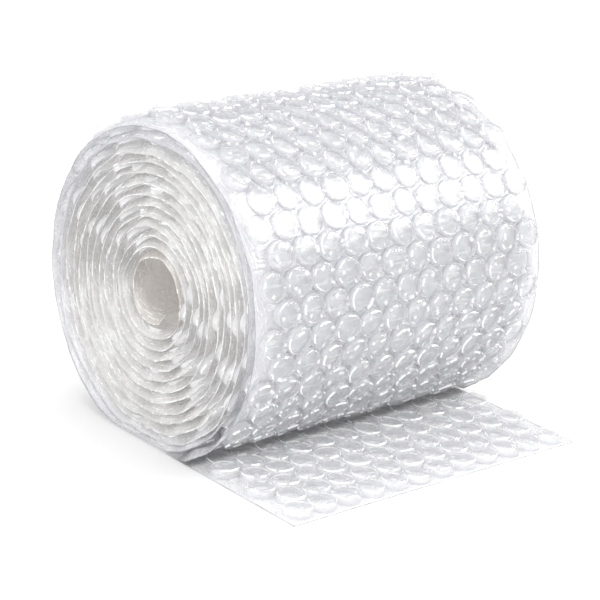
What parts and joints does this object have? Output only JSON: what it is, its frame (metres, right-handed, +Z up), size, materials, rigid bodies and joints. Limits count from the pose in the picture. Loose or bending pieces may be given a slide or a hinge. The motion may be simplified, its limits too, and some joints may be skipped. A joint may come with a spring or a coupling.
{
  "type": "bubble wrap roll",
  "caption": "Clear bubble wrap sheet wound into a roll with an open middle, lying on its side, bubbles outwards, its free end flat on the floor in front.",
  "frame": {"origin": "on the floor, at the centre of the footprint", "axes": "+X along the roll's axis, -Y the way the free end points, +Z up"},
  "size_m": [0.3, 0.3216, 0.2643],
  "materials": {
    "bubble_film": "clear glossy film"
  },
  "bodies": {
    "root": {"bubble_wrap": "bubble_film"}
  },
  "joints": []
}
